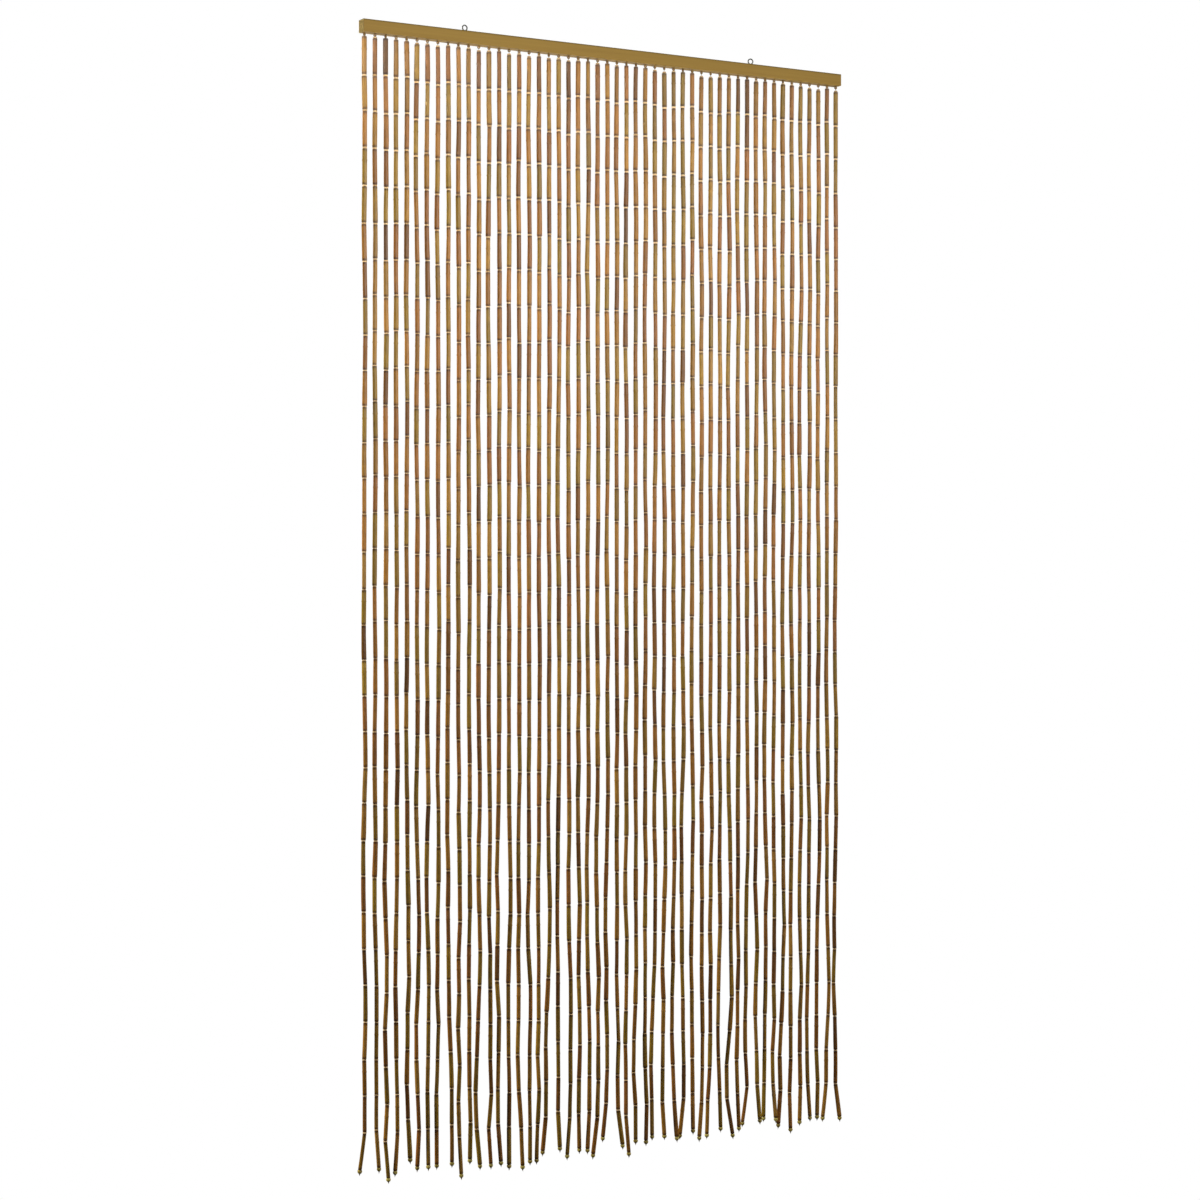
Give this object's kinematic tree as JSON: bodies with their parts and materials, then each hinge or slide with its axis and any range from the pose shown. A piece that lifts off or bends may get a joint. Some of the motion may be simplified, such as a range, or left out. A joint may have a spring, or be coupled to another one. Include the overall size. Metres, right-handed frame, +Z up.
{
  "type": "bamboo door curtain on a wooden rail",
  "caption": "Door curtain of hanging bamboo bead strands on a painted wooden batten, with two screw eyes on top to hang it from.",
  "frame": {"origin": "midway between the centres of the two rings that the curtain hangs from", "axes": "+X along the rail to the right as seen from the front, the front towards -Y, +Z up"},
  "size_m": [1.0097, 0.0269, 2.0313],
  "materials": {
    "rail_wood": "olive gold stain and satin varnish on plain wood",
    "eye_steel": "dull zinc plated wire",
    "bamboo": "stained and varnished cane, tan to dark brown",
    "bead_wood": "pale waxed wood",
    "thread": "brown twisted thread"
  },
  "bodies": {
    "root": {"rail": "rail_wood", "screw_eye_left": "eye_steel", "screw_eye_right": "eye_steel", "strands_left": "bamboo", "strands_right": "bamboo"}
  },
  "joints": []
}
